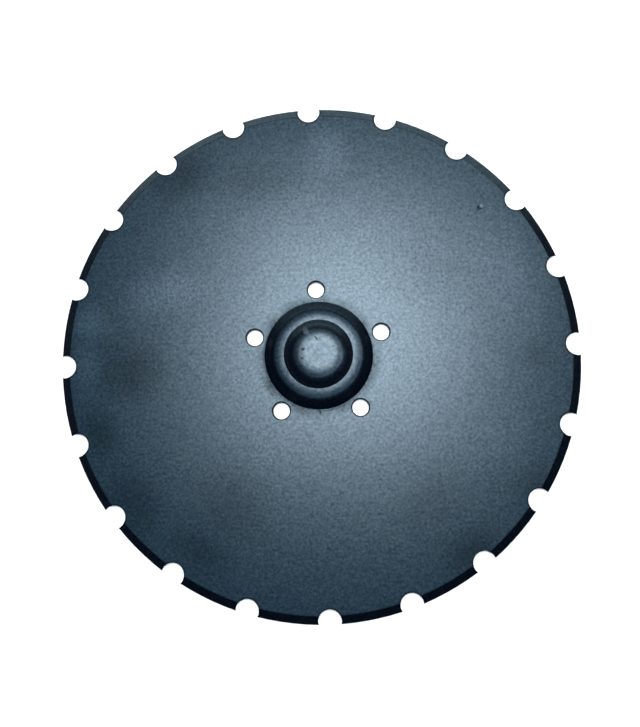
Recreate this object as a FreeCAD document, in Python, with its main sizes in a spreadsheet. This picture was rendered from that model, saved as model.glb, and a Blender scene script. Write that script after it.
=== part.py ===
import FreeCAD, Part
import math
import os
from collections import namedtuple
from enum import IntEnum

import Sketcher

# Notched seed drill disc, pressed from one round steel plate.
# Millimetres and degrees. Z is the disc's axis and the dome is up.
# The flat back face lies on Z = 0, and one notch and one bolt hole lie on +Y.

# Driving sizes: name, value, what it measures
SIZES = [
    ("disc_diameter", 410.0, "across the rim between two notches"),
    ("plate_thickness", 4.0, "plate and dome wall"),
    ("bevel_width", 7.0, "ground bevel on the dome side, measured along the radius"),
    ("edge_land", 0.6, "flat edge left under the bevel"),
    ("notch_count", 20, "round notches in the rim"),
    ("notch_diameter", 18.0, "across the punched notch"),
    ("notch_depth", 11.9, "from the rim to the bottom of the notch"),
    ("notch_chamfer_width", 0.5, "edge that the punch draws down round a notch, on the dome side"),
    ("bolt_count", 5, "hub bolt holes"),
    ("bolt_circle_diameter", 105.0, "through the centres of the bolt holes"),
    ("bolt_hole_diameter", 13.0, "bore of a bolt hole"),
    ("bolt_chamfer_width", 1.0, "chamfer round the mouth of a bolt hole, on the dome side"),
    ("cap_flat_radius", 11.0, "level top of the cap"),
    ("cap_crown_bend", 25.0, "inside radius of the easy bend round the cap's top"),
    ("cap_crown_angle", 16.0, "slope where the easy bend ends"),
    ("cap_shoulder_bend", 8.0, "inside radius of the cap's shoulder"),
    ("cap_wall_angle", 45.0, "slope of the cap's wall"),
    ("cap_wall_length", 3.4, "straight stretch of the cap's wall"),
    ("crease_bend", 0.7, "inside radius of the crease round the cap"),
    ("ledge_angle", 1.0, "slope of the ledge at the crease"),
    ("ledge_crown_bend", 24.0, "inside radius of the easy bend across the ledge"),
    ("ledge_crown_angle", 16.0, "slope where that bend ends"),
    ("ledge_shoulder_bend", 4.0, "inside radius of the ledge's shoulder"),
    ("dome_wall_angle", 45.0, "slope of the dome's outer wall"),
    ("dome_wall_length", 5.9, "straight stretch of the dome's outer wall"),
    ("base_bend", 1.5, "inside radius where the dome meets the plate"),
    ("flare_angle", 6.0, "slope of the plate where the press draws it up, at the dome's foot"),
    ("flare_bend", 20.0, "inside radius over which that slope eases until the plate is level"),
]

# The pressed line, from the axis to the plate: straight stretches, and bends from slope to slope.
# Slopes are degrees below level. A bend that steepens has its inside at the back of the disc,
# and one that eases has it at the front. The last bend eases until the plate is level.
Straight = namedtuple("Straight", "length")
Bend = namedtuple("Bend", "inside before after")
LEVEL = None
PRESSED_LINE = [
    Straight("cap_flat_radius"),
    Bend("cap_crown_bend", LEVEL, "cap_crown_angle"),
    Bend("cap_shoulder_bend", "cap_crown_angle", "cap_wall_angle"),
    Straight("cap_wall_length"),
    Bend("crease_bend", "cap_wall_angle", "ledge_angle"),
    Bend("ledge_crown_bend", "ledge_angle", "ledge_crown_angle"),
    Bend("ledge_shoulder_bend", "ledge_crown_angle", "dome_wall_angle"),
    Straight("dome_wall_length"),
    Bend("base_bend", "dome_wall_angle", "flare_angle"),
    Bend("flare_bend", "flare_angle", LEVEL),
]

# How far a cutting profile reaches past the faces it cuts, and the slant of a hole's mouth
CUT_OVERRUN = 1.0
MOUTH_ANGLE = 45.0


class Axis(IntEnum):
    """Numbers of a sketch's own two axes."""

    ACROSS = -1
    UPWARD = -2


class Spot(IntEnum):
    """Numbers of the two ends of a sketch line or arc, and of the origin."""

    START = 1
    END = 2


size = {name: value for name, value, note in SIZES}


def make_size_sheet(doc):
    """Write the driving sizes into a spreadsheet, one alias each."""
    sheet = doc.addObject("Spreadsheet::Sheet", "Sizes")
    for row, (name, value, note) in enumerate(SIZES, start=1):
        sheet.set(f"A{row}", name)
        sheet.set(f"B{row}", str(value))
        sheet.set(f"C{row}", note)
        sheet.setAlias(f"B{row}", name)
    doc.recompute()
    return sheet


def origin_feature(body, role):
    """Return the plane or axis of the body's own origin that has the given role."""
    return next(item for item in body.Origin.OriginFeatures if item.Role == role)


def new_sketch(body, name, plane_role):
    """Add a sketch to the body, lying on one of its origin planes."""
    sketch = body.newObject("Sketcher::SketchObject", name)
    sketch.AttachmentSupport = [(origin_feature(body, plane_role), "")]
    sketch.MapMode = "FlatFace"
    return sketch


def bind(sketch, expression, kind, *arguments):
    """Add a dimension to the sketch and tie it to the size sheet."""
    index = sketch.addConstraint(Sketcher.Constraint(kind, *arguments))
    sketch.setExpression(f"Constraints[{index}]", expression)


def relate(sketch, kind, *arguments):
    """Add a constraint without a dimension to the sketch."""
    sketch.addConstraint(Sketcher.Constraint(kind, *arguments))


def add_line(sketch, start, end):
    """Add a straight line to the sketch and return its number."""
    first = FreeCAD.Vector(start[0], start[1], 0)
    last = FreeCAD.Vector(end[0], end[1], 0)
    return sketch.addGeometry(Part.LineSegment(first, last), False)


def add_arc(sketch, centre, radius, first_angle, last_angle):
    """Add an arc to the sketch, counter-clockwise in degrees, and return its number."""
    circle = Part.Circle(FreeCAD.Vector(centre[0], centre[1], 0), FreeCAD.Vector(0, 0, 1), radius)
    arc = Part.ArcOfCircle(circle, math.radians(first_angle), math.radians(last_angle))
    return sketch.addGeometry(arc, False)


def slope_of(name):
    """Return a named slope in degrees, where no name means level."""
    return 0.0 if name is LEVEL else size[name]


def slope_term(name):
    """Return a named slope as a term of an expression."""
    return "0" if name is LEVEL else f"Sizes.{name}"


def steepens(bend):
    """Return whether a bend gets steeper away from the axis, with its inside at the back."""
    return slope_of(bend.after) > slope_of(bend.before)


def bend_radius(bend, front):
    """Return a bend's radius on one face: the inside radius, or that plus the plate's thickness."""
    wall = size["plate_thickness"] if steepens(bend) == front else 0.0
    return size[bend.inside] + wall


def bend_radius_term(bend, front):
    """Return the same radius as a term of an expression."""
    wall = " + Sizes.plate_thickness" if steepens(bend) == front else ""
    return f"Sizes.{bend.inside}{wall}"


def walk_line(front):
    """Follow the pressed line on one face, starting at the axis at height 0.

    Returns one entry for each step: its start, its end and, for a bend, its centre.
    """
    reach, height, slope = 0.0, 0.0, 0.0
    entries = []
    for step in PRESSED_LINE:
        start = (reach, height)
        centre = None
        if isinstance(step, Straight):
            reach += size[step.length] * math.cos(math.radians(slope))
            height -= size[step.length] * math.sin(math.radians(slope))
        else:
            arm = bend_radius(step, front) * (-1.0 if steepens(step) else 1.0)
            turn_from = math.radians(slope)
            slope = slope_of(step.after)
            turn_to = math.radians(slope)
            centre = (reach + arm * math.sin(turn_from), height + arm * math.cos(turn_from))
            reach = centre[0] - arm * math.sin(turn_to)
            height = centre[1] - arm * math.cos(turn_to)
        entries.append((start, (reach, height), centre))
    return entries


def draw_straight(sketch, step, start, end):
    """Draw a straight stretch of the pressed line, and return its number and its two ends."""
    number = add_line(sketch, start, end)
    bind(sketch, f"Sizes.{step.length}", "Distance", number, size[step.length])
    return number, Spot.START, Spot.END


def draw_bend(sketch, bend, centre, front):
    """Draw a bend of the pressed line, and return its number and its two ends, the inner one first.

    Its turn is a dimension too, apart from the last bend's, which ends where the plate is level.
    """
    radius = bend_radius(bend, front)
    before, after = slope_of(bend.before), slope_of(bend.after)
    if steepens(bend):
        number = add_arc(sketch, centre, radius, 90 - after, 90 - before)
        ends = (Spot.END, Spot.START)
        turn_term = f"({slope_term(bend.after)} - {slope_term(bend.before)}) * 1 deg"
    else:
        number = add_arc(sketch, centre, radius, 270 - before, 270 - after)
        ends = (Spot.START, Spot.END)
        turn_term = f"({slope_term(bend.before)} - {slope_term(bend.after)}) * 1 deg"
    bind(sketch, bend_radius_term(bend, front), "Radius", number, radius)
    if bend is not PRESSED_LINE[-1]:
        bind(sketch, turn_term, "Angle", number, math.radians(abs(after - before)))
    return number, *ends


def draw_pressed_line(sketch, front):
    """Draw one face of the pressed line and of the plate, and tie them to the size sheet.

    Returns the number of the first line, at the axis, and of the last, at the rim.
    """
    plate_height = size["plate_thickness"] if front else 0.0
    plate_reach = size["disc_diameter"] / 2 - (size["bevel_width"] if front else 0.0)
    entries = walk_line(front)
    base_reach, base_height = entries[-1][1]

    def lifted(point):
        """Return a point of the walked line at its height over the back face."""
        return point[0], point[1] + plate_height - base_height

    drawn = []
    for step, (start, end, centre) in zip(PRESSED_LINE, entries):
        if isinstance(step, Straight):
            drawn.append(draw_straight(sketch, step, lifted(start), lifted(end)))
        else:
            drawn.append(draw_bend(sketch, step, lifted(centre), front))
    plate = add_line(sketch, (base_reach, plate_height), (plate_reach, plate_height))
    drawn.append((plate, Spot.START, Spot.END))
    for before, after in zip(drawn, drawn[1:]):
        relate(sketch, "Tangent", before[0], before[2], after[0], after[1])

    first = drawn[0][0]
    relate(sketch, "PointOnObject", first, Spot.START, Axis.UPWARD)
    relate(sketch, "Horizontal", first)
    relate(sketch, "Horizontal", plate)
    if front:
        bind(sketch, "Sizes.plate_thickness",
             "DistanceY", Axis.ACROSS, Spot.START, plate, Spot.END, plate_height)
        bind(sketch, "Sizes.disc_diameter / 2 - Sizes.bevel_width",
             "DistanceX", Axis.ACROSS, Spot.START, plate, Spot.END, plate_reach)
    else:
        relate(sketch, "PointOnObject", plate, Spot.END, Axis.ACROSS)
        bind(sketch, "Sizes.disc_diameter / 2",
             "DistanceX", Axis.ACROSS, Spot.START, plate, Spot.END, plate_reach)
    return first, plate


def line_end(sketch, number, which):
    """Return an end of a line of the sketch as two numbers."""
    point = sketch.getPoint(number, which)
    return point.x, point.y


def draw_section(body):
    """Draw half of the disc's section: both faces of the pressed line, the bevel and the edge."""
    sketch = new_sketch(body, "Section", "XZ_Plane")
    front_first, front_plate = draw_pressed_line(sketch, front=True)
    back_first, back_plate = draw_pressed_line(sketch, front=False)

    rim = size["disc_diameter"] / 2
    front_axis_point = line_end(sketch, front_first, Spot.START)
    back_axis_point = line_end(sketch, back_first, Spot.START)
    at_axis = add_line(sketch, front_axis_point, back_axis_point)
    bevel = add_line(sketch, line_end(sketch, front_plate, Spot.END), (rim, size["edge_land"]))
    land = add_line(sketch, (rim, size["edge_land"]), (rim, 0.0))
    relate(sketch, "Coincident", at_axis, Spot.START, front_first, Spot.START)
    relate(sketch, "Coincident", at_axis, Spot.END, back_first, Spot.START)
    relate(sketch, "Coincident", bevel, Spot.START, front_plate, Spot.END)
    relate(sketch, "Coincident", bevel, Spot.END, land, Spot.START)
    relate(sketch, "Coincident", land, Spot.END, back_plate, Spot.END)
    relate(sketch, "Vertical", land)
    bind(sketch, "Sizes.edge_land", "Distance", land, size["edge_land"])
    return sketch


def revolve_blank(body, section):
    """Turn the section round the disc's axis."""
    blank = body.newObject("PartDesign::Revolution", "Blank")
    blank.Profile = section
    blank.ReferenceAxis = (section, ["V_Axis"])
    blank.Angle = 360
    section.Visibility = False
    return blank


def pattern_round(body, feature, name, count_alias):
    """Repeat a cut round the disc's axis, as often as the size sheet says."""
    pattern = body.newObject("PartDesign::PolarPattern", name)
    pattern.Originals = [feature]
    pattern.Axis = (origin_feature(body, "Z_Axis"), [""])
    pattern.Angle = 360
    pattern.setExpression("Occurrences", f"Sizes.{count_alias}")
    body.Tip = pattern
    return pattern


def punch_round(body, name, reach_term, reach, diameter_alias, chamfer_alias, count_alias):
    """Punch round holes through the plate, the first one on +Y.

    Each is a straight bore whose mouth on the dome side is chamfered. It is cut by turning half of
    its section round its own axis, which stands reach away from the disc's axis.
    """
    sketch = new_sketch(body, f"{name}Section", "YZ_Plane")
    bore = size[diameter_alias] / 2
    chamfer = size[chamfer_alias]
    face = size["plate_thickness"]
    wall = reach + bore
    mouth = wall + chamfer + CUT_OVERRUN

    floor = add_line(sketch, (reach, -CUT_OVERRUN), (wall, -CUT_OVERRUN))
    side = add_line(sketch, (wall, -CUT_OVERRUN), (wall, face - chamfer))
    slant = add_line(sketch, (wall, face - chamfer), (mouth, face + CUT_OVERRUN))
    lid = add_line(sketch, (mouth, face + CUT_OVERRUN), (reach, face + CUT_OVERRUN))
    hole_axis = add_line(sketch, (reach, face + CUT_OVERRUN), (reach, -CUT_OVERRUN))
    outline = [floor, side, slant, lid, hole_axis]

    for number, follower in zip(outline, outline[1:] + outline[:1]):
        relate(sketch, "Coincident", number, Spot.END, follower, Spot.START)
    for number in (floor, lid):
        relate(sketch, "Horizontal", number)
    for number in (side, hole_axis):
        relate(sketch, "Vertical", number)
    relate(sketch, "Angle", slant, math.radians(MOUTH_ANGLE))
    bind(sketch, reach_term, "DistanceX", Axis.ACROSS, Spot.START, floor, Spot.START, reach)
    bind(sketch, f"Sizes.{diameter_alias} / 2", "Distance", floor, bore)
    bind(sketch, f"Sizes.plate_thickness - Sizes.{chamfer_alias}",
         "DistanceY", Axis.ACROSS, Spot.START, side, Spot.END, face - chamfer)
    relate(sketch, "DistanceY", floor, Spot.START, Axis.ACROSS, Spot.START, CUT_OVERRUN)
    bind(sketch, f"Sizes.{chamfer_alias} + {CUT_OVERRUN}",
         "DistanceY", slant, Spot.START, slant, Spot.END, chamfer + CUT_OVERRUN)

    hole = body.newObject("PartDesign::Groove", name)
    hole.Profile = sketch
    hole.ReferenceAxis = (sketch, [f"Edge{hole_axis + 1}"])
    hole.Angle = 360
    return pattern_round(body, hole, f"{name}Ring", count_alias)


def cut_notches(body):
    """Punch the round notches through the rim."""
    reach = size["disc_diameter"] / 2 - size["notch_depth"] + size["notch_diameter"] / 2
    reach_term = "Sizes.disc_diameter / 2 - Sizes.notch_depth + Sizes.notch_diameter / 2"
    return punch_round(body, "Notch", reach_term, reach,
                       "notch_diameter", "notch_chamfer_width", "notch_count")


def cut_bolt_holes(body):
    """Punch the bolt holes through the plate round the dome."""
    reach = size["bolt_circle_diameter"] / 2
    return punch_round(body, "BoltHole", "Sizes.bolt_circle_diameter / 2", reach,
                       "bolt_hole_diameter", "bolt_chamfer_width", "bolt_count")


def make_seed_disc(doc):
    """Build the disc: the turned blank, then its notches, then its bolt holes."""
    body = doc.addObject("PartDesign::Body", "SeedDisc")
    body.Label = "seed_disc"
    blank = revolve_blank(body, draw_section(body))
    doc.recompute()
    notches = cut_notches(body)
    doc.recompute()
    holes = cut_bolt_holes(body)
    doc.recompute()
    if not blank.Shape.Volume > notches.Shape.Volume > holes.Shape.Volume:
        raise RuntimeError("a cut of the disc removed nothing")
    return body


def check_document(doc, bodies):
    """Stop if any object of the document failed, or if a sub-part has no sound solid."""
    for item in doc.Objects:
        if "Invalid" in item.State or "Error" in item.State:
            raise RuntimeError(f"{item.Name} failed: {item.State}")
    for body in bodies:
        if body.Shape.isNull() or not body.Shape.isValid():
            raise RuntimeError(f"{body.Label} has no sound shape")


def write_parts(bodies):
    """Write each sub-part to its own file, named by its label."""
    os.makedirs("parts", exist_ok=True)
    for body in bodies:
        body.Shape.exportStep(f"parts/{body.Label}.step")
        print(f"{body.Label}: {body.Shape.Volume:.1f} mm3, {len(body.Shape.Faces)} faces")


doc = FreeCAD.newDocument("SeedDrillDisc")
make_size_sheet(doc)
bodies = [make_seed_disc(doc)]
check_document(doc, bodies)
write_parts(bodies)
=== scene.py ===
"""Notched seed drill disc: its paint, a pale floor, soft studio light and the camera."""

import logging
import math
from dataclasses import dataclass
from enum import Enum

import bpy
from mathutils import Matrix, Vector


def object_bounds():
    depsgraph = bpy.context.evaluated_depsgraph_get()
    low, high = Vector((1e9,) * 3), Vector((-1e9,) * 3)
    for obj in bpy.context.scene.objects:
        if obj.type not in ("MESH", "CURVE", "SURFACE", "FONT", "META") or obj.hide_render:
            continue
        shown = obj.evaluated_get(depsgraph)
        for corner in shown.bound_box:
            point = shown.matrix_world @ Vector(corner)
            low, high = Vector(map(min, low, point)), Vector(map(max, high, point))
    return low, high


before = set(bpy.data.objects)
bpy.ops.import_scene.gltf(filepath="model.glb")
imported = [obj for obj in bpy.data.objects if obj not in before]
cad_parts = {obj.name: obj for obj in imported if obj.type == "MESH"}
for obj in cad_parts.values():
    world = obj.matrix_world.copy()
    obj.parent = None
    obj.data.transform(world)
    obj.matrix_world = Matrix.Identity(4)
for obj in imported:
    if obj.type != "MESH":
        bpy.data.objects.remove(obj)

# The box of the construction model, kept from before anything is added
CAD_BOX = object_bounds()

PIECE_LOG = logging.getLogger("seed_disc_scene")

MM = 0.001

# Half the disc's width, where its ground bevel starts, and the notches in its rim
RIM = CAD_BOX[1][0]
BEVEL_WIDTH = 7.0 * MM
BEVEL_START = RIM - BEVEL_WIDTH
NOTCH_COUNT = 20
NOTCH_RADIUS = 9.0 * MM
NOTCH_INSET = 2.7 * MM
NOTCH_CENTRE = RIM - NOTCH_INSET

Colour = tuple[float, float, float]
Point = tuple[float, float, float]
Span = tuple[float, float]
Socket = bpy.types.NodeSocket

WHOLE: Span = (0.0, 1.0)

# Where nearly all of a soft noise lies
NOISE_SPAN: Span = (0.3, 0.7)


class Graph:
    """A node tree with short ways to add and join its nodes."""

    def __init__(self, tree: bpy.types.NodeTree) -> None:
        """Clear the tree of a material or a world, and keep it."""
        self.tree = tree
        tree.nodes.clear()

    def add(self, kind: str, settings: dict | None = None, **sockets: object) -> bpy.types.Node:
        """Add a node, set its options and fill its inputs.

        Args:
            kind: Blender's name of the node's type.
            settings: Options of the node itself.
            **sockets: Inputs by name, with _ for a space: a value, or an output to join.

        Returns:
            The new node.
        """
        node = self.tree.nodes.new(kind)
        for name, value in (settings or {}).items():
            setattr(node, name, value)
        for name, value in sockets.items():
            self.fill(node.inputs[name.replace("_", " ")], value)
        return node

    def fill(self, socket: Socket, value: object) -> None:
        """Join an output to an input, or set the input's own value.

        Args:
            socket: The input.
            value: An output socket, a number, a vector or a colour.
        """
        if isinstance(value, Socket):
            self.tree.links.new(value, socket)
        elif isinstance(value, tuple) and len(value) == 3 and socket.type == "RGBA":
            socket.default_value = (*value, 1.0)
        else:
            socket.default_value = value

    def fill_in_order(self, node: bpy.types.Node, values: tuple) -> bpy.types.Node:
        """Fill a node's inputs in their order.

        Args:
            node: The node.
            values: What the inputs get, from the first.

        Returns:
            The same node.
        """
        for socket, value in zip(node.inputs, values):
            self.fill(socket, value)
        return node

    def maths(self, operation: str, *values: object) -> Socket:
        """Add a sum on numbers.

        Args:
            operation: Blender's name of the sum.
            *values: Numbers or outputs, in order.

        Returns:
            The result.
        """
        node = self.add("ShaderNodeMath", {"operation": operation})
        return self.fill_in_order(node, values).outputs[0]

    def vector_maths(self, operation: str, *values: object) -> bpy.types.Node:
        """Add a sum on vectors.

        Args:
            operation: Blender's name of the sum.
            *values: Vectors or outputs, in order.

        Returns:
            The node, which has its result at Vector, or at Value where it is a number.
        """
        node = self.add("ShaderNodeVectorMath", {"operation": operation})
        return self.fill_in_order(node, values)

    def rescale(self, value: object, span: Span, to_span: Span, smooth: bool = False) -> Socket:
        """Stretch a number from one range to another, and hold it inside.

        Args:
            value: The output to stretch.
            span: Values that become the two ends of to_span.
            to_span: Results at those two values.
            smooth: Whether the ends are eased.

        Returns:
            The stretched number.
        """
        way = "SMOOTHSTEP" if smooth else "LINEAR"
        node = self.add("ShaderNodeMapRange", {"interpolation_type": way, "clamp": True})
        return self.fill_in_order(node, (value, *span, *to_span)).outputs[0]

    def strongest(self, values: list[Socket]) -> object:
        """Pick the highest of some numbers.

        Args:
            values: The outputs to compare.

        Returns:
            The highest, or 0 if there are none.
        """
        highest = 0.0
        for value in values:
            highest = self.maths("MAXIMUM", highest, value)
        return highest

    def mix(self, share: object, first: object, second: object) -> Socket:
        """Lay one colour over another.

        Args:
            share: How much of the second shows.
            first: The colour below.
            second: The colour on top.

        Returns:
            The mixed colour.
        """
        node = self.add("ShaderNodeMix", {"data_type": "RGBA"})
        self.fill(node.inputs["Factor"], share)
        colours = [socket for socket in node.inputs if socket.type == "RGBA"]
        self.fill(colours[0], first)
        self.fill(colours[1], second)
        return next(socket for socket in node.outputs if socket.type == "RGBA")

    def length(self, vector: Socket) -> Socket:
        """Return the length of a vector."""
        return self.vector_maths("LENGTH", vector).outputs["Value"]

    def bearing(self, place: Socket) -> Socket:
        """Return the angle of a point round the disc's axis, in radians."""
        across = self.add("ShaderNodeSeparateXYZ", Vector=place)
        return self.maths("ARCTAN2", across.outputs["Y"], across.outputs["X"])

    def noise(self, place: Socket, grain: float, detail: float = 2.0, roughness: float = 0.5) -> Socket:
        """Add noise of a given grain.

        Args:
            place: The point, in metres.
            grain: Width of a grain, in metres.
            detail: How many finer layers lie on it.
            roughness: Strength of the finer layers.

        Returns:
            The noise, about 0.5 on average.
        """
        node = self.add("ShaderNodeTexNoise", {"normalize": True}, Vector=place, Scale=1.0 / grain,
                        Detail=detail, Roughness=roughness)
        return node.outputs[0]


class Effect(Enum):
    """What a mark does to the paint."""

    PALE = "pale"
    # Raises the gloss and the dust; on the cap's lower right this is a painted highlight
    SHINY_AND_HIGHLIGHT = "shiny_and_highlight"
    # Lowers the gloss and the dust; at the dome's foot this is painted shade
    DULL_AND_SHADE = "dull_and_shade"
    DENT = "dent"


@dataclass(frozen=True)
class Mark:
    """A mark on the dome side: an oval with an uneven edge."""

    effect: Effect
    place_mm: tuple[float, float]
    size_mm: tuple[float, float]
    strength: float
    turn_deg: float = 0.0
    softness: float = 0.7

    def spread(self, graph: Graph, flat_place: Socket, unevenness: Socket) -> Socket:
        """Work out how strongly the mark shows at each point.

        Args:
            graph: The paint's graph.
            flat_place: The point, in metres, with no height.
            unevenness: Noise that frays the edge, about 0 on average.

        Returns:
            The strength, 0 outside the mark.
        """
        x, y = self.place_mm
        length, width = self.size_mm
        oval = graph.add("ShaderNodeMapping", {"vector_type": "TEXTURE"}, Vector=flat_place,
                         Location=(x * MM, y * MM, 0.0),
                         Rotation=(0.0, 0.0, math.radians(self.turn_deg)),
                         Scale=(length / 2 * MM, width / 2 * MM, 1.0))
        frayed = graph.maths("ADD", graph.length(oval.outputs[0]), unevenness)
        return graph.rescale(frayed, (1.0 - self.softness, 1.0), (self.strength, 0.0), smooth=True)


@dataclass(frozen=True)
class Cloud(Mark):
    """A soft mark, which fades all the way from its middle."""

    softness: float = 1.0


# A dent and a nick near the rim, scuffs on the cap and by the dome, a dull cloud on the cap, a painted
# highlight on the cap's lower right, painted shade at the dome's lower-left foot, and clouds on the face
MARKS = (
    Cloud(Effect.DENT, place_mm=(134.2, 113.5), size_mm=(6.0, 5.0), strength=0.42, turn_deg=40.0),
    Mark(Effect.PALE, place_mm=(124.4, 133.2), size_mm=(3.2, 2.2), strength=0.5),
    Mark(Effect.DULL_AND_SHADE, place_mm=(-1.1, 11.3), size_mm=(6.4, 1.8), strength=0.75, turn_deg=-55.0),
    Mark(Effect.DULL_AND_SHADE, place_mm=(-11.4, 3.3), size_mm=(4.6, 3.6), strength=0.8),
    Mark(Effect.DULL_AND_SHADE, place_mm=(-12.4, -3.6), size_mm=(3.8, 2.4), strength=0.6, turn_deg=-30.0),
    Mark(Effect.DULL_AND_SHADE, place_mm=(11.6, 4.6), size_mm=(2.6, 2.2), strength=0.5),
    Mark(Effect.PALE, place_mm=(-8.6, 17.2), size_mm=(9.0, 5.5), strength=1.0, turn_deg=-60.0),
    Mark(Effect.DULL_AND_SHADE, place_mm=(-0.8, -45.0), size_mm=(6.0, 2.6), strength=0.8, turn_deg=90.0),
    Cloud(Effect.DULL_AND_SHADE, place_mm=(0.0, 0.0), size_mm=(30.0, 30.0), strength=0.08),
    # Painted highlight on the cap's lower right
    Cloud(Effect.SHINY_AND_HIGHLIGHT, place_mm=(19.5, -4.5), size_mm=(28.0, 9.0), strength=1.0, turn_deg=77.0),
    # Painted shade at the dome's foot, on its lower left, in two clouds
    Cloud(Effect.DULL_AND_SHADE, place_mm=(-39.4, -22.7), size_mm=(36.0, 11.0), strength=0.60, turn_deg=-60.0),
    Cloud(Effect.DULL_AND_SHADE, place_mm=(-15.6, -42.8), size_mm=(36.0, 11.0), strength=0.50, turn_deg=-20.0),
    Cloud(Effect.DULL_AND_SHADE, place_mm=(-104.0, 152.0), size_mm=(84.0, 56.0), strength=0.38, turn_deg=30.0),
    Cloud(Effect.DULL_AND_SHADE, place_mm=(-44.0, 144.0), size_mm=(100.0, 56.0), strength=0.21),
    Cloud(Effect.SHINY_AND_HIGHLIGHT, place_mm=(14.0, 169.0), size_mm=(54.0, 62.0), strength=0.43),
    Cloud(Effect.DULL_AND_SHADE, place_mm=(-150.0, -6.0), size_mm=(92.0, 74.0), strength=0.40),
    Cloud(Effect.SHINY_AND_HIGHLIGHT, place_mm=(-126.0, 56.0), size_mm=(100.0, 54.0), strength=0.43, turn_deg=12.0),
    Cloud(Effect.SHINY_AND_HIGHLIGHT, place_mm=(-182.0, 34.0), size_mm=(44.0, 40.0), strength=0.70, turn_deg=90.0),
    Cloud(Effect.SHINY_AND_HIGHLIGHT, place_mm=(-184.0, -2.0), size_mm=(56.0, 36.0), strength=0.50, turn_deg=90.0),
    Cloud(Effect.DULL_AND_SHADE, place_mm=(108.0, -154.0), size_mm=(72.0, 48.0), strength=0.43, turn_deg=30.0),
    Cloud(Effect.DULL_AND_SHADE, place_mm=(160.0, -108.0), size_mm=(56.0, 44.0), strength=0.26, turn_deg=55.0),
    Cloud(Effect.DULL_AND_SHADE, place_mm=(80.0, -116.0), size_mm=(80.0, 90.0), strength=0.14),
    Cloud(Effect.DULL_AND_SHADE, place_mm=(86.0, 62.0), size_mm=(110.0, 90.0), strength=0.14, turn_deg=-40.0),
    Cloud(Effect.DULL_AND_SHADE, place_mm=(-148.0, -108.0), size_mm=(84.0, 60.0), strength=0.36, turn_deg=-58.0),
    Cloud(Effect.DULL_AND_SHADE, place_mm=(-174.0, -54.0), size_mm=(60.0, 44.0), strength=0.43, turn_deg=-72.0),
    Cloud(Effect.DULL_AND_SHADE, place_mm=(-96.0, -146.0), size_mm=(80.0, 50.0), strength=0.34, turn_deg=-32.0),
    Cloud(Effect.DULL_AND_SHADE, place_mm=(-72.0, -114.0), size_mm=(90.0, 90.0), strength=0.22),
    Cloud(Effect.DULL_AND_SHADE, place_mm=(170.0, -8.0), size_mm=(40.0, 36.0), strength=0.17),
    Cloud(Effect.SHINY_AND_HIGHLIGHT, place_mm=(158.0, 60.0), size_mm=(150.0, 80.0), strength=0.24, turn_deg=-76.0),
    Cloud(Effect.SHINY_AND_HIGHLIGHT, place_mm=(140.0, -70.0), size_mm=(90.0, 80.0), strength=0.15),
)


@dataclass(frozen=True)
class PaintedShadeBand:
    """A band of painted shade along an edge of the disc, made by dulling the paint, strongest at the edge.
    """

    radius: float
    reach: float
    shade_strength: float
    smooth: bool = True

    def fade(self, graph: Graph, distance: Socket) -> Socket:
        """Return the painted shade at a distance from the edge."""
        return graph.rescale(distance, (0.0, self.reach), (self.shade_strength, 0.0), self.smooth)

    def ring(self, graph: Graph, from_axis: Socket) -> Socket:
        """Return the painted shade to both sides of an edge that runs round the axis."""
        return self.fade(graph, graph.maths("ABSOLUTE", graph.maths("SUBTRACT", from_axis, self.radius)))


@dataclass(frozen=True)
class Surface:
    """What the paint knows of each point of the disc."""

    place: Socket
    flat_place: Socket
    front: Socket
    level: Socket


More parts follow.
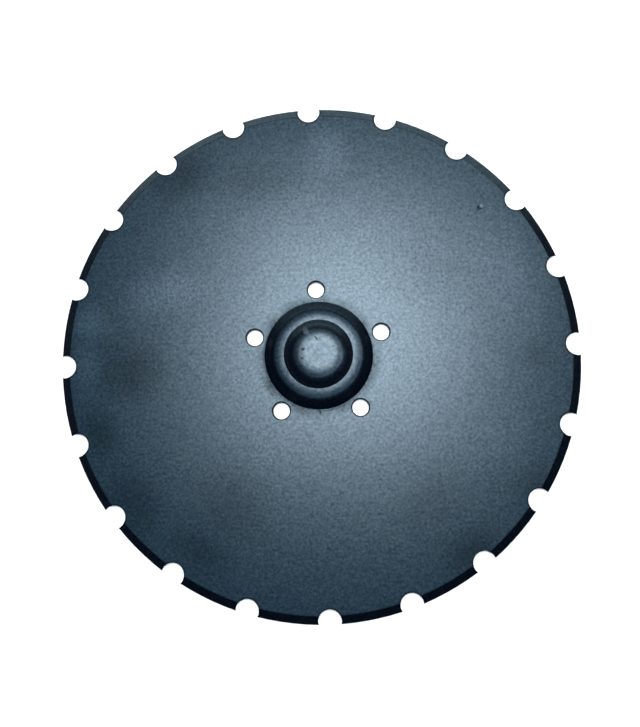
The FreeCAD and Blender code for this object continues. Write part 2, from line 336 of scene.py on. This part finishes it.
@dataclass(frozen=True)
class SatinPaint:
    """Dark blue-black satin paint, sprayed thin, with a fine speckle and a few marks, and with painted
    shade and a painted highlight laid into its gloss and dust.
    """

    name: str = "satin_dark_paint"
    colour: Colour = (0.0002, 0.0012, 0.0040)
    warm_tone: Colour = (0.0005, 0.0010, 0.0050)
    cool_tone: Colour = (0.0000, 0.0038, 0.0040)
    tone_grain: float = 13.0 * MM
    dust_colour: Colour = (0.0004, 0.0185, 0.0310)
    dust_grain: float = 1.8 * MM
    dust_span: Span = (0.30, 0.84)
    pale_colour: Colour = (0.0400, 0.0540, 0.0680)

    gloss_tint: Colour = (0.65, 0.845, 1.0)
    gloss_level: float = 0.5
    bevel_gloss: float = 0.9
    roughness: float = 0.356
    bevel_roughness: float = 0.29
    bevel_blend: float = 0.2 * MM
    speckle_grain: float = 2.2 * MM
    speckle_span: Span = (0.2, 0.8)
    speckle_roughness: float = 0.024
    speckle_gloss: float = 0.66

    grain: float = 2.0 * MM
    grain_height: float = 0.04 * MM
    wave: float = 14.0 * MM
    wave_height: float = 0.08 * MM
    streak: float = 0.5 * MM
    streak_length: float = 24.0 * MM
    streak_height: float = 0.02 * MM
    dent_depth: float = 1.0 * MM

    # Heights of the normal over which the dome side sets in, and over which a part counts as level
    front_span: Span = (0.0, 0.1)
    level_span: Span = (0.90, 0.995)

    marks: tuple[Mark, ...] = MARKS
    fray: float = 0.28
    fray_grain: float = 2.2 * MM
    fray_span: Span = (0.25, 0.75)

    # Bands of painted shade, made by dulling the paint; the dome's two shoulders have theirs only on the
    # side that lean_heading points to
    cap_band: PaintedShadeBand = PaintedShadeBand(radius=19.0 * MM, reach=6.0 * MM, shade_strength=0.62)
    ledge_band: PaintedShadeBand = PaintedShadeBand(radius=35.0 * MM, reach=5.5 * MM, shade_strength=0.50)
    lean_heading: Point = (-0.74, 0.67, 0.0)
    lean_span: Span = (-16.0 * MM, 4.0 * MM)
    foot_band: PaintedShadeBand = PaintedShadeBand(radius=45.0 * MM, reach=6.5 * MM, shade_strength=0.26)
    blotch_grain: float = 16.0 * MM
    blotch_span: Span = (0.4, 1.6)
    bevel_band: PaintedShadeBand = PaintedShadeBand(radius=BEVEL_START, reach=0.9 * MM, shade_strength=0.5, smooth=False)
    notch_band: PaintedShadeBand = PaintedShadeBand(radius=NOTCH_RADIUS, reach=2.4 * MM, shade_strength=0.8)

    def survey(self, graph: Graph) -> Surface:
        """Find where each point lies and which way it faces.

        Args:
            graph: The paint's graph.

        Returns:
            The point in metres, the same with no height, 1 on the dome side, and 1 where it is level.
        """
        place = graph.add("ShaderNodeTexCoord").outputs["Object"]
        flat_place = graph.vector_maths("MULTIPLY", place, (1.0, 1.0, 0.0)).outputs["Vector"]
        normal = graph.add("ShaderNodeNewGeometry").outputs["Normal"]
        upward = graph.add("ShaderNodeSeparateXYZ", Vector=normal).outputs["Z"]
        front = graph.rescale(upward, self.front_span, WHOLE)
        level = graph.rescale(graph.maths("ABSOLUTE", upward), self.level_span, WHOLE, smooth=True)
        return Surface(place, flat_place, front, level)

    def total(self, graph: Graph, effect: Effect, surface: Surface) -> Socket:
        """Gather the marks of one kind.

        Args:
            graph: The paint's graph.
            effect: The kind of mark.
            surface: What is known of each point.

        Returns:
            The strength of the strongest mark at each point.
        """
        noise = graph.noise(surface.flat_place, self.fray_grain)
        fray = graph.rescale(noise, self.fray_span, (-self.fray, self.fray))
        alike = [mark for mark in self.marks if mark.effect is effect]
        spreads = [mark.spread(graph, surface.flat_place, fray) for mark in alike]
        return graph.maths("MULTIPLY", graph.strongest(spreads), surface.front)

    def on_bevel(self, graph: Graph, surface: Surface) -> Socket:
        """Tell the ground bevel from the rest of the disc.

        Args:
            graph: The paint's graph.
            surface: What is known of each point.

        Returns:
            1 on the bevel and 0 elsewhere.
        """
        edge = (BEVEL_START - self.bevel_blend, BEVEL_START + self.bevel_blend)
        past_edge = graph.rescale(graph.length(surface.flat_place), edge, WHOLE)
        return graph.maths("MULTIPLY", past_edge, surface.front)

    def painted_shade(self, graph: Graph, surface: Surface) -> Socket:
        """Paint shade by dulling the paint on the dome's shoulders and at its foot, at the bevel's inner
        edge and round the notches.

        Args:
            graph: The paint's graph.
            surface: What is known of each point.

        Returns:
            The painted shade, as lost gloss, at each point.
        """
        from_axis = graph.length(surface.flat_place)
        across = graph.vector_maths("DOT_PRODUCT", surface.flat_place, self.lean_heading).outputs["Value"]
        leaning = graph.rescale(across, self.lean_span, WHOLE, smooth=True)
        shoulders = [band.ring(graph, from_axis) for band in (self.cap_band, self.ledge_band)]
        noise = graph.noise(surface.flat_place, self.blotch_grain)
        blotch = graph.rescale(noise, NOISE_SPAN, self.blotch_span)
        bands = [
            graph.maths("MULTIPLY", graph.strongest(shoulders), leaning),
            graph.maths("MULTIPLY", self.foot_band.ring(graph, from_axis), blotch),
            self.bevel_band.ring(graph, from_axis),
            self.notch_band.fade(graph, self.from_notch(graph, surface)),
        ]
        return graph.maths("MULTIPLY", graph.strongest(bands), surface.front)

    def from_notch(self, graph: Graph, surface: Surface) -> Socket:
        """Measure from the edge of the nearest notch.

        Args:
            graph: The paint's graph.
            surface: What is known of each point.

        Returns:
            The distance, in metres.
        """
        pitch = math.tau / NOTCH_COUNT
        steps = graph.maths("ROUND", graph.maths("DIVIDE", graph.bearing(surface.flat_place), pitch))
        turned = graph.add("ShaderNodeVectorRotate", {"rotation_type": "Z_AXIS"},
                           Vector=surface.flat_place, Angle=graph.maths("MULTIPLY", steps, -pitch))
        offset = graph.vector_maths("SUBTRACT", turned.outputs[0], (NOTCH_CENTRE, 0.0, 0.0))
        return graph.maths("SUBTRACT", graph.length(offset.outputs["Vector"]), self.notch_band.radius)

    def streaks(self, graph: Graph, surface: Surface) -> Socket:
        """Make grinding lines that run round the disc.

        Args:
            graph: The paint's graph.
            surface: What is known of each point.

        Returns:
            The lines' height, 0 to 1.
        """
        squeeze = RIM * self.streak / self.streak_length
        along = graph.maths("MULTIPLY", graph.bearing(surface.flat_place), squeeze)
        unrolled = graph.add("ShaderNodeCombineXYZ", X=graph.length(surface.flat_place), Y=along)
        return graph.noise(unrolled.outputs[0], self.streak)

    def tint(self, graph: Graph, surface: Surface, shine_and_painted_light: Socket) -> Socket:
        """Lay the paint's own tones, the dust on it and the pale scuffs; the dust is thinned where shade
        is painted and thickened where a highlight is painted.

        Args:
            graph: The paint's graph.
            surface: What is known of each point.
            shine_and_painted_light: How much gloss and dust a point keeps, about 1, lowered by dull marks
                and painted shade, raised by shiny marks and the painted highlight.

        Returns:
            The colour.
        """
        tone = graph.rescale(graph.noise(surface.place, self.tone_grain, detail=1.0), NOISE_SPAN, WHOLE)
        face_colour = graph.mix(tone, self.warm_tone, self.cool_tone)
        # Only level parts get the tones and the dust; the steep dome walls and the bevel keep the darker
        # plain colour
        colour = graph.mix(surface.level, self.colour, face_colour)
        specks = graph.noise(surface.place, self.dust_grain, roughness=0.7)
        dust = graph.maths("MULTIPLY", graph.rescale(specks, self.dust_span, WHOLE), surface.level)
        # The dust share follows the gloss, so it also carries the painted shade and highlight
        colour = graph.mix(graph.maths("MULTIPLY", dust, shine_and_painted_light), colour, self.dust_colour)
        return graph.mix(self.total(graph, Effect.PALE, surface), colour, self.pale_colour)

    def relief(self, graph: Graph, surface: Surface, on_bevel: Socket) -> Socket:
        """Raise the grain, the waves and the grinding lines, and sink the dent.

        Args:
            graph: The paint's graph.
            surface: What is known of each point.
            on_bevel: 1 on the bevel and 0 elsewhere.

        Returns:
            The normal.
        """
        grain = graph.noise(surface.place, self.grain, detail=3.0, roughness=0.6)
        layers = (
            (graph.noise(surface.place, self.wave, detail=1.0), self.wave_height),
            (self.total(graph, Effect.DENT, surface), -self.dent_depth),
            (graph.maths("MULTIPLY", self.streaks(graph, surface), on_bevel), self.streak_height),
        )
        height = graph.maths("MULTIPLY", grain, self.grain_height)
        for layer, layer_height in layers:
            height = graph.maths("MULTIPLY_ADD", layer, layer_height, height)
        return graph.add("ShaderNodeBump", Height=height, Distance=1.0).outputs[0]

    def build(self) -> bpy.types.Material:
        """Make the paint's material.

        Returns:
            The material.
        """
        material = bpy.data.materials.new(self.name)
        material.use_nodes = True
        graph = Graph(material.node_tree)
        surface = self.survey(graph)
        on_bevel = self.on_bevel(graph, surface)
        # Painted shade and highlight: the dull marks and the shade bands lower the gloss and the dust, and
        # the shiny marks raise them
        dull_and_shade = graph.strongest([self.total(graph, Effect.DULL_AND_SHADE, surface), self.painted_shade(graph, surface)])
        unworn_and_unshaded = graph.rescale(dull_and_shade, WHOLE, (1.0, 0.0))
        shine_and_painted_light = graph.maths("ADD", unworn_and_unshaded, self.total(graph, Effect.SHINY_AND_HIGHLIGHT, surface))

        speckle = graph.noise(surface.place, self.speckle_grain, detail=3.0, roughness=0.65)
        unevenness = (-self.speckle_roughness, self.speckle_roughness)
        ground = graph.rescale(on_bevel, WHOLE, (self.roughness, self.bevel_roughness))
        roughness = graph.maths("ADD", ground, graph.rescale(speckle, self.speckle_span, unevenness))
        glitter = (1.0 - self.speckle_gloss, 1.0 + self.speckle_gloss)
        sparkle = graph.rescale(speckle, self.speckle_span, glitter)
        gloss = graph.maths("MULTIPLY", graph.maths("MULTIPLY", shine_and_painted_light, self.gloss_level), sparkle)
        gloss = graph.maths("MULTIPLY", gloss, graph.rescale(on_bevel, WHOLE, (1.0, self.bevel_gloss)))

        shader = graph.add("ShaderNodeBsdfPrincipled", Base_Color=self.tint(graph, surface, shine_and_painted_light),
                           Roughness=roughness, Specular_IOR_Level=gloss,
                           Specular_Tint=self.gloss_tint, Normal=self.relief(graph, surface, on_bevel))
        graph.add("ShaderNodeOutputMaterial", Surface=shader.outputs[0])
        return material


@dataclass
class SeedDisc:
    """The disc itself, which keeps the form of the construction model."""

    node: str = "seed_disc"
    paint: SatinPaint = SatinPaint()

    def dress(self) -> bpy.types.Object:
        """Paint the disc.

        Returns:
            The disc's object.
        """
        disc = bpy.data.objects[self.node]
        material = self.paint.build()
        if not disc.material_slots:
            disc.data.materials.append(material)
        for slot in disc.material_slots:
            slot.material = material
        return disc


@dataclass(frozen=True)
class FloorFinish:
    """Matt pale floor, whose far part has a glow that only the camera sees."""

    name: str = "pale_floor"
    colour: Colour = (0.86, 0.86, 0.86)
    roughness: float = 0.9
    glow_colour: Colour = (1.0, 1.0, 1.0)
    glow: float = 0.62
    glow_span: Span = (0.32, 0.90)

    def build(self) -> bpy.types.Material:
        """Make the floor's material.

        Returns:
            The material.
        """
        material = bpy.data.materials.new(self.name)
        material.use_nodes = True
        graph = Graph(material.node_tree)
        distance = graph.length(graph.add("ShaderNodeTexCoord").outputs["Object"])
        glow = graph.rescale(distance, self.glow_span, (0.0, self.glow), smooth=True)
        seen = graph.add("ShaderNodeLightPath").outputs["Is Camera Ray"]
        shader = graph.add("ShaderNodeBsdfPrincipled", Base_Color=self.colour, Roughness=self.roughness,
                           Specular_IOR_Level=0.0, Emission_Color=self.glow_colour,
                           Emission_Strength=graph.maths("MULTIPLY", seen, glow))
        graph.add("ShaderNodeOutputMaterial", Surface=shader.outputs[0])
        return material


@dataclass
class StudioFloor:
    """A plain round floor under the disc."""

    radius: float = 1.8
    corners: int = 96
    finish: FloorFinish = FloorFinish()

    def build(self) -> bpy.types.Object:
        """Lay the floor at the disc's lowest point.

        Returns:
            The floor.
        """
        mesh = bpy.data.meshes.new("floor")
        low = CAD_BOX[0][2]
        turns = [math.tau * step / self.corners for step in range(self.corners)]
        edge = [(self.radius * math.cos(turn), self.radius * math.sin(turn), low) for turn in turns]
        mesh.from_pydata(edge, [], [tuple(range(self.corners))])
        mesh.materials.append(self.finish.build())
        floor = bpy.data.objects.new("floor", mesh)
        bpy.context.collection.objects.link(floor)
        return floor


class LampShape(Enum):
    """Outline of a lamp's face."""

    SQUARED = "RECTANGLE"
    OVAL = "ELLIPSE"


@dataclass(frozen=True)
class SoftLamp:
    """A flat studio lamp that faces the disc."""

    name: str
    heading: Point
    distance: float
    width: float
    height: float
    power: float
    colour: Colour = (1.0, 1.0, 1.0)
    shape: LampShape = LampShape.SQUARED

    def build(self) -> bpy.types.Object:
        """Hang the lamp.

        Returns:
            The lamp.
        """
        data = bpy.data.lights.new(self.name, "AREA")
        data.shape = self.shape.value
        data.size = self.width
        data.size_y = self.height
        data.energy = self.power
        data.color = self.colour
        lamp = bpy.data.objects.new(self.name, data)
        heading = Vector(self.heading).normalized()
        lamp.location = heading * self.distance
        lamp.rotation_mode = "QUATERNION"
        lamp.rotation_quaternion = (-heading).to_track_quat("-Z", "Y")
        lamp.visible_camera = False
        bpy.context.collection.objects.link(lamp)
        return lamp


LAMPS = (
    SoftLamp("key_lamp", heading=(0.0359, 0.1774, 1.0), distance=1.2, width=0.52, height=0.52, power=22.3),
    SoftLamp("back_lamp", heading=(0.0, 1.0, 0.32), distance=2.0, width=4.5, height=1.1, power=21.6,
             colour=(0.68, 0.94, 1.0), shape=LampShape.OVAL),
)


@dataclass(frozen=True)
class StudioAir:
    """The dim room round the disc: a little light from above, and dark near the floor."""

    zenith: Colour = (0.0, 0.14, 0.34)
    horizon: Colour = (0.004, 0.006, 0.008)
    zenith_span: Span = (0.55, 0.9)
    backdrop: Colour = (0.92, 0.93, 0.94)

    def build(self) -> bpy.types.World:
        """Fill the world with the room's light.

        Returns:
            The world.
        """
        world = bpy.data.worlds.new("studio_air")
        world.use_nodes = True
        graph = Graph(world.node_tree)
        place = graph.add("ShaderNodeTexCoord").outputs["Generated"]
        upward = graph.add("ShaderNodeSeparateXYZ", Vector=place).outputs["Z"]
        share = graph.rescale(upward, self.zenith_span, WHOLE, smooth=True)
        room = graph.mix(share, self.horizon, self.zenith)
        seen = graph.add("ShaderNodeLightPath").outputs["Is Camera Ray"]
        colour = graph.mix(seen, room, self.backdrop)
        light = graph.add("ShaderNodeBackground", Color=colour, Strength=1.0)
        graph.add("ShaderNodeOutputWorld", Surface=light.outputs[0])
        bpy.context.scene.world = world
        return world


@dataclass(frozen=True)
class PhotoCamera:
    """The camera, above the disc and a little towards its near side."""

    place_mm: Point = (13.73, -65.98, 510.53)
    aim_mm: Point = (0.75, -6.71, 4.0)
    turn_deg: float = 2.43
    lens_mm: float = 32.19
    sensor_mm: float = 36.0
    nearest: float = 0.01
    farthest: float = 50.0

    def build(self) -> bpy.types.Object:
        """Place the camera.

        Returns:
            The camera.
        """
        data = bpy.data.cameras.new("photo_camera")
        data.lens = self.lens_mm
        data.sensor_width = self.sensor_mm
        data.clip_start = self.nearest
        data.clip_end = self.farthest
        camera = bpy.data.objects.new("photo_camera", data)
        place = Vector(self.place_mm) * MM
        forward = (Vector(self.aim_mm) * MM - place).normalized()
        turn = math.radians(self.turn_deg)
        right = forward.cross(Vector((math.sin(turn), math.cos(turn), 0.0))).normalized()
        upward = right.cross(forward)
        axes = Matrix((right, upward, -forward)).transposed()
        camera.matrix_world = Matrix.Translation(place) @ axes.to_4x4()
        bpy.context.collection.objects.link(camera)
        bpy.context.scene.camera = camera
        return camera


def main() -> None:
    """Build the scene, piece by piece."""
    logging.basicConfig(level=logging.INFO, format="%(message)s")
    bpy.context.scene.view_settings.view_transform = "Standard"
    disc = SeedDisc().dress()
    PIECE_LOG.info("painted %s", disc.name)
    floor = StudioFloor().build()
    PIECE_LOG.info("laid %s", floor.name)
    for lamp in LAMPS:
        PIECE_LOG.info("hung %s", lamp.build().name)
    air = StudioAir().build()
    PIECE_LOG.info("filled %s", air.name)
    camera = PhotoCamera().build()
    PIECE_LOG.info("placed %s", camera.name)


if __name__ == "__main__":
    main()
